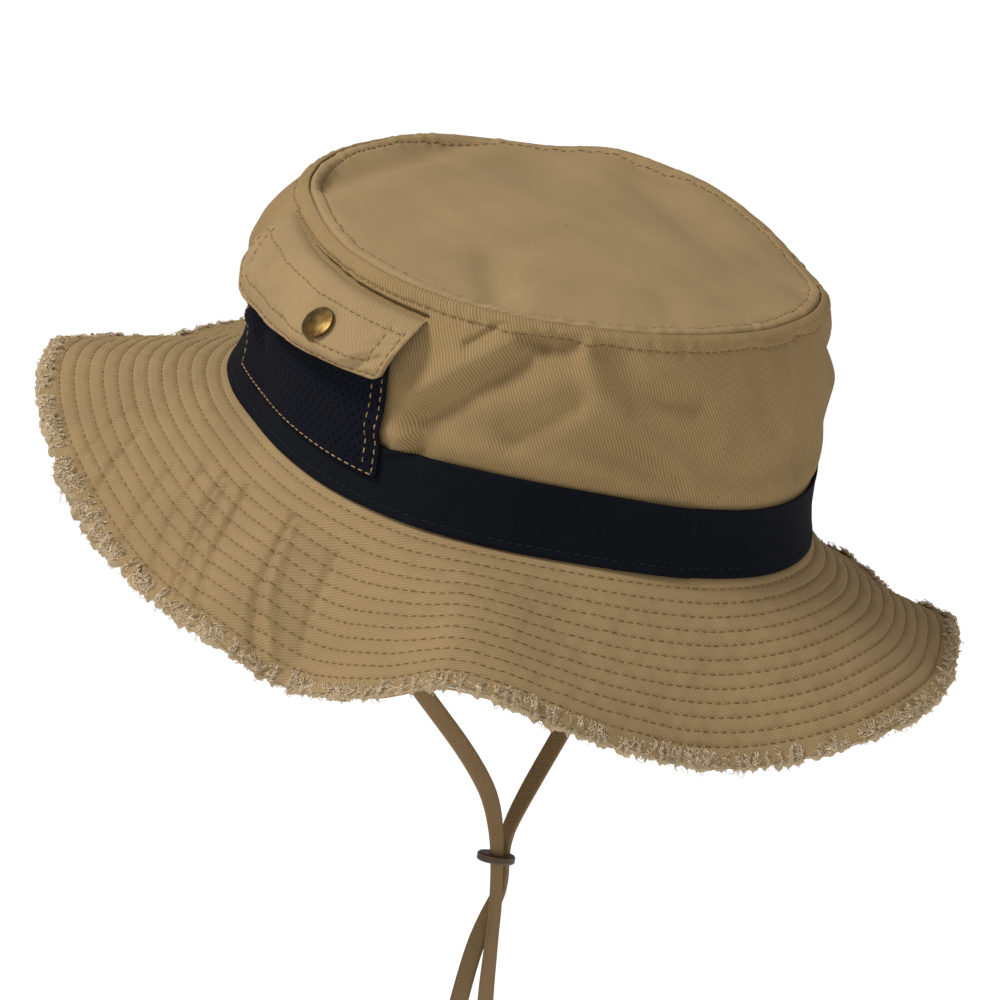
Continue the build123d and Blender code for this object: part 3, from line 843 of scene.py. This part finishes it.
def band_out(azimuth, z):
    """The hatband's outer face: it follows the crown, and laps over itself at the back."""
    side = azimuth_signed(azimuth)
    over = 0.8 * ease(side, 3.9, 4.4) * (side < 30)
    fade = 1 - ease(side, 6, 26)
    hem = 0.25 * bump(z, 1.2, 1.2) + 0.2 * bump(z, band_top(azimuth) - 0.9, 0.9)
    pinch = -0.3 * bump(z, 2.9, 0.5)
    return wall(azimuth, z, 1.2 + over * fade + hem + pinch)


def band_point(azimuth, share):
    """Point of the hatband's outer face at a share of its height there."""
    return band_out(azimuth, BAND_FOOT + share * (band_top(azimuth) - BAND_FOOT))


def make_bands(materials):
    band = ring_grid("hat_band", band_point, 900, np.linspace(0, 1, 40),
                     lambda a, s: strip_uv(a, s * BAND_H), materials["navy"], 0.8, flip=True)
    put(band, "hat", ["hatband"])

    thread = Thread()
    ring_stitches(thread, band_out, 2.9, -1, 8, pitch=3.0, length=2.3, radius=0.2)
    put(thread.piece("band_stitches", materials["navy thread"]), "hat", [])

    heights = np.linspace(-SWEAT_DROP, SWEAT_H - SWEAT_DROP, 24)
    sweat = ring_grid("sweat_band", lambda a, z: wall(a, z, -1.5), 480, heights, strip_uv,
                      materials["inside"], 1.1, flip=True)
    put(sweat, "hat", ["sweatband"])


# ---- brim ---------------------------------------------------------------------------------
FLAT_RADIUS = 97        # inner radius of the brim's cloth where it lies flat


def flat_brim_uv(azimuth, reach):
    """Where the cloth of the brim lay when it was cut flat."""
    a = np.radians(azimuth)
    radius = FLAT_RADIUS + reach
    return np.stack([radius * np.sin(a), radius * np.cos(a)], -1)


BRIM_INNER = -0.8       # the brim's cloths reach this far in under the crown


def make_brim(materials):
    upper = ring_grid("brim_top_cloth", brim, 900, np.linspace(BRIM_INNER, BRIM_W, 150),
                      flat_brim_uv, materials["brim"], 0.7)
    put(upper, "hat", ["brim_upper"])

    core = ring_grid("brim_stiffener", lambda a, r: brim(a, r, -1.5, 0.95), 720,
                     np.linspace(BRIM_INNER, BRIM_W, 80), flat_brim_uv, materials["core"], 0.4)
    put(core, "hat", ["brim_interlining"])

    lower = ring_grid("brim_under_cloth", lambda a, r: brim(a, r, -2.9, 0.7), 720,
                      np.linspace(BRIM_INNER, BRIM_W, 110), flat_brim_uv, materials["brim"], 0.7)
    lower.modifiers[0].offset = 1.0
    put(lower, "hat", ["brim_lower"])

    top_rows, under_rows = Thread(), Thread()
    style = dict(pitch=3.1, length=2.3, radius=0.19)
    for k, row in enumerate(ROWS):
        ring_stitches(top_rows, brim, row, 1, 20 + k, **style)
        ring_stitches(under_rows, lambda a, r: brim(a, r, -3.0, 0.7), row, -1, 50 + k, **style)
    put(top_rows.piece("brim_stitches_top", materials["thread"]), "hat", [])
    put(under_rows.piece("brim_stitches_under", materials["thread"]), "hat", [])


EDGE_HEM = 3.9          # how far the edge strip reaches in over the brim
EDGE_GIRTH = 1.65       # girth of the brim's edge over the girth of the crown's foot


def edge_frame(azimuth):
    """Ways out, up and along at the brim's edge, as three arrays of vectors."""
    nx, ny = outward(azimuth, np.zeros_like(azimuth))
    droop = np.radians(droop_of(azimuth))
    c, s = np.cos(droop), np.sin(droop)
    out = np.stack([nx * c, ny * c, -s], -1)
    up = np.stack([nx * s, ny * s, c], -1)
    return out, up, np.stack([-ny, nx, 0 * nx], -1)


def binding_surface(azimuth, t):
    """Gathered strip folded round the brim's edge: t runs from its raw edge on top, 0, round
    the rim to its raw edge below, 1."""
    azimuth, t = spread(azimuth, t)
    x, y = plan(azimuth, np.zeros_like(azimuth))
    x, y = EDGE_GIRTH * x, EDGE_GIRTH * y
    along = np.stack([x, y, 0 * x], -1)
    across = np.stack([x, y, 8 * t], -1)
    raw = np.abs(2 * t - 1)
    top = t < 0.5
    width = EDGE_HEM + 0.9 * ripple(along, 16, 34) + 0.5 * ripple(along, 3.4, 35)
    pleat = 1 - 2.6 * np.abs(ripple(along, 7.0, 31)) ** 0.6
    pleat = 0.8 * pleat + 0.5 * (1 - 2.2 * np.abs(ripple(across, 3.2, 32)) ** 0.8)
    puff = 0.6 + 0.7 * ripple(along, 19, 33)
    outer = 2.2 * bump(azimuth_signed(azimuth), 104, 9)
    reach = BRIM_W + 1.0 + outer - (width + outer) * raw**1.7
    reach = reach + (0.8 * pleat + 0.5 * puff) * (1 - 0.6 * raw)
    hug = 1.55 * np.minimum(1.0, 1.25 * raw**0.4)
    loose = raw**2 * (0.3 + 0.9 * np.maximum(0, ripple(along, 8, 36)))
    lift = hug + 0.55 * pleat * (0.5 + raw) + 0.35 * puff + loose
    lift = np.where(top, lift - 1.6, -1.6 - lift)
    return brim(azimuth, reach, lift, 0.0)


def raw_threads(thread, rng, count, below):
    """Frayed yarns that stand out of the strip's raw edge, curled every way."""
    azimuths = np.sort(rng.uniform(0, 360, count))
    at = rng.uniform(0.0, 0.1, count)
    roots = binding_surface(azimuths, 1 - at if below else at)
    out, up, along = edge_frame(azimuths)
    if below:
        up = -up
    for root, o, u, a in zip(roots, out, up, along):
        length = rng.uniform(0.7, 2.6)
        sway, bow = rng.normal(0, 0.5), rng.uniform(0.2, 0.9)
        phase, wave = rng.uniform(0, 6.3), rng.uniform(0.1, 0.35)
        line = []
        for step in np.linspace(0, 1, 6):
            sideways = sway * step * step + wave * math.sin(phase + 5 * step)
            rise = bow * math.sin(2.6 * step) - 0.25 * step
            line.append(root - o * (length * step) + a * sideways * length * 0.6 + u * rise)
        thread.strand(line, rng.uniform(0.09, 0.17))


def curled_yarns(thread, rng, count):
    """Yarns worked loose from the weave that lie in curls across the strip's upper side."""
    for azimuth in np.sort(rng.uniform(0, 360, count)):
        start, run = rng.uniform(0.0, 0.08), rng.uniform(0.14, 0.36)
        swing, turns, phase = rng.uniform(0.1, 0.45), rng.uniform(4, 11), rng.uniform(0, 6.3)
        slant = rng.normal(0, 0.4)
        steps = np.linspace(0, 1, 12)
        sideways = slant * steps + swing * np.sin(turns * steps + phase)
        line = binding_surface(azimuth + sideways, start + run * steps)
        up = edge_frame(np.array([azimuth]))[1][0]
        rise = 0.15 + 0.3 * np.abs(np.sin(1.7 * turns * steps))
        thread.strand(line + up * rise[:, None], rng.uniform(0.12, 0.2))


def rim_loops(thread, rng, count):
    """Loose yarn loops and fuzz on the outside of the rim."""
    azimuths = np.sort(rng.uniform(0, 360, count))
    roots = binding_surface(azimuths, rng.uniform(0.2, 0.8, count))
    out, up, along = edge_frame(azimuths)
    for root, o, u, a in zip(roots, out, up, along):
        size = rng.uniform(0.35, 1.0) * (2.3 if rng.uniform() < 0.07 else 1.0)
        swing, lean = rng.normal(0, 0.9), rng.normal(0, 0.6)
        line = []
        for step in np.linspace(0, 1, 7):
            bulge = math.sin(step * math.pi)
            sideways = swing * step + 0.4 * math.sin(5 * step)
            line.append(root + (o * bulge + a * sideways + u * lean * bulge) * size)
        thread.strand(line, rng.uniform(0.07, 0.13))


def make_edge(materials):
    piece = ring_grid("brim_edge_strip", binding_surface, 2000, np.linspace(0, 1, 30),
                      lambda a, t: np.stack([a * 2.7, 15 * t], -1), materials["edge"], 0.5)
    put(piece, "hat", ["brim_edge_binding"])
    rng = np.random.RandomState(9)
    thread = Thread(sides=4)
    raw_threads(thread, rng, 3600, False)
    raw_threads(thread, rng, 1500, True)
    curled_yarns(thread, rng, 1700)
    rim_loops(thread, rng, 1500)
    put(thread.piece("brim_edge_fray", materials["fray"]), "hat", [])


# ---- pocket -------------------------------------------------------------------------------
POCKET_SLANT = 6.0      # degrees that the pocket's front edge leans back at its top


MESH_COLUMNS, MESH_ROWS = 58, 21
MESH_CELL = (1.5, 2.1)  # width and height of a cell of the mesh
# Outline of a cell of the mesh and of the slot in it, in cells from its middle.
CELL = ((-0.5, -0.5), (0, -0.5), (0.5, -0.5), (0.5, 0), (0.5, 0.5), (0, 0.5), (-0.5, 0.5), (-0.5, 0))
SLOT = (
    (-0.13, -0.2), (0, -0.3), (0.13, -0.2), (0.15, 0), (0.13, 0.2), (0, 0.3), (-0.13, 0.2),
    (-0.15, 0),
)


def pocket_out(azimuth, z):
    """How far the mesh stands out from the crown."""
    return 1.8 + 0.5 * bump(azimuth, 92, 24) * bump(z, 40, 18)


def lean_back(z):
    """Degrees by which the pocket's front edge has leaned back at a height."""
    return POCKET_SLANT * ease(z, 22, 46)


def pocket_cloth(i, j):
    """Point of the mesh at a place counted in cells from its lower rear corner."""
    (az_low, az_high), z_low, z_high = POCKET_AZ, POCKET_Z[0], POCKET_Z[1] - 3
    z = z_low + (z_high - z_low) / MESH_ROWS * j
    azimuth = az_low + (az_high - az_low) / MESH_COLUMNS * i - lean_back(z) * i / MESH_COLUMNS
    return wall(azimuth, z, pocket_out(azimuth, z))


def make_mesh_cloth(materials):
    """Mesh with real holes: every other cell is a square of cloth round a long slot."""
    places, faces, uvs, index = [], [], [], {}

    def add_face(ci, cj, corners):
        face = []
        for a, b in reversed(corners):
            key = (round(ci + a, 3), round(cj + b, 3))
            if key not in index:
                index[key] = len(places)
                places.append(key)
            face.append(index[key])
            uvs.append(((ci + a) * MESH_CELL[0], (cj + b) * MESH_CELL[1]))
        faces.append(face)

    for i in range(MESH_COLUMNS):
        for j in range(MESH_ROWS):
            ci, cj = i + 0.5, j + 0.5
            if (i + j) % 2 == 1 or i in (0, MESH_COLUMNS - 1) or j < 1:
                add_face(ci, cj, CELL)
                continue
            for k in range(8):
                m = (k + 1) % 8
                add_face(ci, cj, (CELL[k], CELL[m], SLOT[m], SLOT[k]))
    verts = place(pocket_cloth(*np.array(places).T))
    piece = new_object("pocket_mesh_cloth", verts, faces, uvs, materials["mesh"])
    solid = piece.modifiers.new("cloth thickness", "SOLIDIFY")
    solid.thickness = 0.0006
    solid.offset = 1.0
    put(piece, "hat", ["pocket_mesh"])


def make_pocket(materials):
    make_mesh_cloth(materials)
    a = np.linspace(POCKET_AZ[0], POCKET_AZ[1] - POCKET_SLANT, 80)
    z = np.linspace(POCKET_Z[1] - 13, POCKET_Z[1], 16)
    aa, zz = np.meshgrid(a, z, indexing="ij")
    hem = grid("pocket_hem", wall(aa, zz, pocket_out(aa, zz) + 1.4), strip_uv(aa, zz),
               materials["navy"], flip=True, thickness=0.6)
    put(hem, "hat", ["pocket_top_hem"])

    thread = Thread()
    low = POCKET_Z[0] + 0.9
    rising = np.linspace(low, 44, 60)
    rows = (
        (np.linspace(POCKET_AZ[0] + 0.8, POCKET_AZ[1] - 0.6, 120), np.full(120, low)),
        (np.full(60, POCKET_AZ[0] + 0.9), rising),
        (np.full(60, POCKET_AZ[0] + 3.0), np.linspace(low + 2, 44, 60)),
        (POCKET_AZ[1] - 0.9 - lean_back(rising), rising),
    )
    for k, (azimuths, heights) in enumerate(rows):
        points = wall(azimuths, heights, pocket_out(azimuths, heights) + 0.65)
        nx, ny = outward(azimuths, heights / CROWN_H)
        thread.stitches(points, np.stack([nx, ny, 0 * nx], -1), np.linspace(0, 1, len(nx)),
                        seed=70 + k, pitch=2.9, length=1.9, radius=0.2, sink=0.02)
    put(thread.piece("pocket_stitches", materials["tan thread"]), "hat", [])


FLAP_LONG, FLAP_DEEP = 88.0, 23.0
# Section of the flap's outer face: share of its depth, height above the straight flap and
# distance out from the crown, from where it is sewn on, over the fold and down to the hem.
FLAP_PROFILE = (
    (-0.085, 0.5, -2.4), (-0.06, 1.1, -0.8), (-0.035, 1.5, 1.1), (-0.015, 1.4, 2.9),
    (0.02, 0.6, 4.5), (0.06, 0.0, 5.9), (0.2, 0.0, 7.5), (0.42, 0.0, 9.1), (0.55, 0.0, 9.6),
    (0.8, 0.0, 9.5), (1.0, 0.0, 9.0),
)
FLAP_THICK, FLAP_CORNER = 2.0, 4.5      # thickness, and radius of the hem's corners
FLAP_ROWS = (2.2, 7.0)          # insets of the stitching round the flap's edge
FOLD_ROW = 3.4                  # distance of its upper row from the fold
SNAP_U, SNAP_V = 0.305, 0.475   # place of the snap along the flap and down it
SNAP_SWELL = 3.4                # how far the flap swells out over the snap


def flap_point(u, v, face):
    """Point of the flap: u from its rear to its front end, v from its fold, 0, to its hem, 1.

    face is 1 on the outer cloth and 0 on the lining.
    """
    u, v = spread(u, v)
    down = np.clip(v, 0.0, 1.0)
    end = np.minimum(u, 1 - u) * FLAP_LONG
    corner = np.maximum(0.0, FLAP_CORNER - end)
    round_off = FLAP_CORNER - np.sqrt(np.maximum(0.0, FLAP_CORNER**2 - corner**2))
    fold_az = FOLD_REAR[0] + (FOLD_FRONT[0] - FOLD_REAR[0]) * u
    hem_az = HEM_REAR[0] + (HEM_FRONT[0] - HEM_REAR[0]) * u
    fold_z = FOLD_REAR[1] + (FOLD_FRONT[1] - FOLD_REAR[1]) * u
    hem_z = HEM_REAR[1] + (HEM_FRONT[1] - HEM_REAR[1]) * u + round_off
    azimuth = fold_az + (hem_az - fold_az) * down
    shares, above, away = np.transpose(FLAP_PROFILE)
    z = fold_z + (hem_z - fold_z) * down + np.interp(v, shares, above)
    out = np.interp(v, shares, away)

    rim = np.minimum(end, (1 - down) * FLAP_DEEP + np.maximum(0, 2.0 - end))
    spot = np.stack([u * FLAP_LONG, v * FLAP_DEEP, 0 * u], -1)
    soft = ease(v, -0.02, 0.1)
    relief = 0.42 * ripple(spot, 15, 41) + 0.22 * ripple(spot, 5, 42)
    relief = relief - 0.42 * bump(rim, FLAP_ROWS[0], 0.5) - 0.38 * bump(rim, FLAP_ROWS[1], 0.5)
    relief = relief - 0.35 * bump(v * FLAP_DEEP, FOLD_ROW, 0.5)
    near_snap = np.hypot((u - SNAP_U) * FLAP_LONG, (v - SNAP_V) * FLAP_DEEP)
    relief = relief - 0.8 * np.exp(-((near_snap / 8.0) ** 2))
    relief = relief + folds_of(u * FLAP_LONG, v * FLAP_DEEP, FLAP_FOLDS)
    shut = np.sqrt(np.maximum(0.0, 1 - (1 - np.clip(rim / 1.1, 0, 1)) ** 2))
    thick = FLAP_THICK * ease(v, -0.06, 0.06)
    middle = out - thick / 2
    side = 1.0 if face else -1.0
    swell = SNAP_SWELL * face * bump(u, SNAP_U, 0.2) * bump(v, 0.74, 0.28)
    swell = swell + relief * soft * (0.3 + 0.7 * face)
    out = middle + side * thick / 2 * shut + swell * ease(rim, 0, 1.2)
    return wall(azimuth, z, out, 0.35)


# Puckers of the flap, as for the crown's wall, in millimetres from its rear end and its fold.
FLAP_FOLDS = (
    (((4, 13), (9, 19)), 1.4, -0.9),
    (((9, 12), (13, 17)), 1.5, 0.7),
    (((3, 8), (9, 10)), 1.2, -0.6),
    (((78, 6), (82, 14)), 1.5, -0.7),
    (((74, 4), (76, 12)), 1.4, 0.6),
    (((40, 16), (52, 19)), 2.0, -0.5),
)


def make_flap(materials):
    u = np.concatenate([np.linspace(0, 0.014, 8), np.linspace(0.02, 0.98, 180),
                        np.linspace(0.986, 1, 8)])
    v = np.concatenate([np.linspace(-0.085, 0.1, 26), np.linspace(0.115, 0.95, 54),
                        np.linspace(0.957, 1, 8)])
    uu, vv = np.meshgrid(u, v, indexing="ij")
    cloth = np.stack([uu * FLAP_LONG, -vv * FLAP_DEEP], -1)
    outer = grid("flap_outer_cloth", flap_point(uu, vv, 1), cloth, materials["flap"])
    put(outer, None, ["pocket_flap_outer", "pocket_flap_seam"])
    hinge = np.array(place(flap_point(0.5, 0.0, 1)))
    turn = np.array(place(flap_point(0.5, -0.07, 1)))
    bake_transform(outer)

    v = np.concatenate([np.linspace(0.04, 0.95, 40), np.linspace(0.957, 1, 8)])
    uu, vv = np.meshgrid(u, v, indexing="ij")
    cloth = np.stack([uu * FLAP_LONG, -vv * FLAP_DEEP], -1)
    lining = grid("flap_lining_cloth", flap_point(uu, vv, 0), cloth, materials["flap"], flip=True)
    put(lining, "flap", ["pocket_flap_lining"])

    thread = Thread()
    for k, inset in enumerate(FLAP_ROWS):
        a, b = inset / FLAP_LONG, 1 - inset / FLAP_DEEP
        us = np.concatenate([np.full(60, a), np.linspace(a, 1 - a, 200), np.full(60, 1 - a)])
        vs = np.concatenate([np.linspace(0.08, b, 60), np.full(200, b), np.linspace(b, 0.08, 60)])
        flap_stitches(thread, us, vs, 90 + k)
    flap_stitches(thread, np.linspace(0.03, 0.97, 200), np.full(200, FOLD_ROW / FLAP_DEEP), 93)
    put(thread.piece("flap_stitches", materials["thread"]), "flap", [])


def flap_stitches(thread, us, vs, seed):
    """Row of stitches through the flap along a line of (u, v)."""
    points = flap_point(us, vs, 1)
    step = 0.003
    along = flap_point(us + step, vs, 1) - flap_point(us - step, vs, 1)
    down = flap_point(us, vs + step, 1) - flap_point(us, vs - step, 1)
    normals = unit(np.cross(along, down))
    normals *= np.sign(normals[:, :1])      # the pocket is on the hat's +X side
    lengths = travelled(points)
    thread.stitches(points, normals, lengths / lengths[-1], seed, pitch=2.8, length=2.1,
                    radius=0.19)


# Section of the snap's cap as (radius, height) in millimetres: dome, rolled rim, underside.
CAP_PROFILE = (
    (0.0, 1.75), (1.4, 1.72), (2.8, 1.6), (4.0, 1.4), (4.8, 1.2), (5.15, 1.12), (5.45, 1.05),
    (5.7, 0.8), (5.72, 0.5), (5.55, 0.15), (5.2, 0.0), (2.0, 0.0), (0.0, 0.0),
)
CAP_LEAN = 0.14         # extra lean of the cap, whose lower rim stands proud of the cloth
CAP_RAISE = 0.55        # how far its underside stands off the cloth under its middle


def make_snap_cap(materials):
    """Domed cap with a rolled rim, sitting square on the flap."""
    here = flap_point(SNAP_U, SNAP_V, 1)
    along = unit(flap_point(SNAP_U + 0.05, SNAP_V, 1) - flap_point(SNAP_U - 0.05, SNAP_V, 1))
    down = flap_point(SNAP_U, SNAP_V + 0.22, 1) - flap_point(SNAP_U, SNAP_V - 0.22, 1)
    normal = unit(np.cross(down, along))
    normal = unit(normal * np.sign(normal[0]) + np.array((0.0, 0.0, CAP_LEAN)))
    side = unit(np.cross(normal, along))
    along = np.cross(side, normal)
    turns = np.radians(np.arange(0, 360, 5.0))
    around = along * np.cos(turns)[:, None] + side * np.sin(turns)[:, None]
    rings = [here + around * radius + normal * (height + CAP_RAISE)
             for radius, height in CAP_PROFILE]
    points = np.stack(rings, 1)
    uv = np.zeros((len(turns) + 1, len(CAP_PROFILE), 2))
    cap = grid("snap_cap_dome", points, uv, materials["brass"], closed=True)
    soften = cap.modifiers.new("round", "SUBSURF")
    soften.levels = soften.render_levels = 2
    weld = cap.modifiers.new("weld", "WELD")
    weld.merge_threshold = 0.00001
    put(cap, "flap", ["snap_cap"])


def make_scene():
    make_camera()
    materials = make_materials()
    make_cord(materials)
    make_crown(materials)
    make_bands(materials)
    make_brim(materials)
    make_edge(materials)
    make_pocket(materials)
    make_flap(materials)
    make_snap_cap(materials)
    for node in ("snap_socket", "snap_stud", "snap_post"):
        dress(node, materials["brass"])
    for node in ("cord_anchor_left", "cord_anchor_right"):
        dress(node, materials["tape"])
    dress("cord_slide", materials["leather"])
    make_stage()


def dress(node, material):
    """Give a solid of the frame its finish."""
    solid = bpy.data.objects[node]
    solid.data.materials.clear()
    solid.data.materials.append(material)


# ---- stage --------------------------------------------------------------------------------
def area_light(name, azimuth, elevation, distance, size, power):
    data = bpy.data.lights.new(name, "AREA")
    data.shape = "DISK"
    data.size = size
    data.energy = power
    toward = direction(math.radians(azimuth), math.radians(elevation))
    aim(bpy.data.objects.new(name, data), toward, distance)


def make_world():
    """Even studio light all round, with a white backdrop behind the hat."""
    world = bpy.data.worlds.new("studio")
    bpy.context.scene.world = world
    world.use_nodes = True
    tree = world.node_tree
    around = tree.nodes["Background"]
    around.inputs[1].default_value = 0.46
    backdrop = tree.nodes.new("ShaderNodeBackground")
    for background in (around, backdrop):
        background.inputs[0].default_value = (1, 1, 1, 1)
    rays = tree.nodes.new("ShaderNodeLightPath")
    choose = tree.nodes.new("ShaderNodeMixShader")
    tree.links.new(rays.outputs["Is Camera Ray"], choose.inputs[0])
    tree.links.new(around.outputs[0], choose.inputs[1])
    tree.links.new(backdrop.outputs[0], choose.inputs[2])
    tree.links.new(choose.outputs[0], tree.nodes["World Output"].inputs[0])


def make_stage():
    n = Nodes("pale floor")
    where = n.add("ShaderNodeTexCoord").outputs["Object"]
    tone = n.noise(where, 3.0, 2.0)
    n.colour(n.ramp(tone, ((0.3, (0.93,) * 3), (0.7, (0.95,) * 3))))
    n.finish(Roughness=0.9, Emission_Color=(1, 1, 1, 1), Emission_Strength=0.6)
    bpy.ops.mesh.primitive_plane_add(size=60, location=(0, 0, -0.42))
    floor = bpy.context.object
    floor.name = "floor"
    floor.data.materials.append(n.material)
    make_world()
    area_light("key", azimuth=92, elevation=48, distance=1.25, size=0.35, power=13)
    area_light("fill", azimuth=150, elevation=30, distance=2.4, size=1.4, power=4)
    bpy.context.scene.view_settings.view_transform = "Standard"


make_scene()
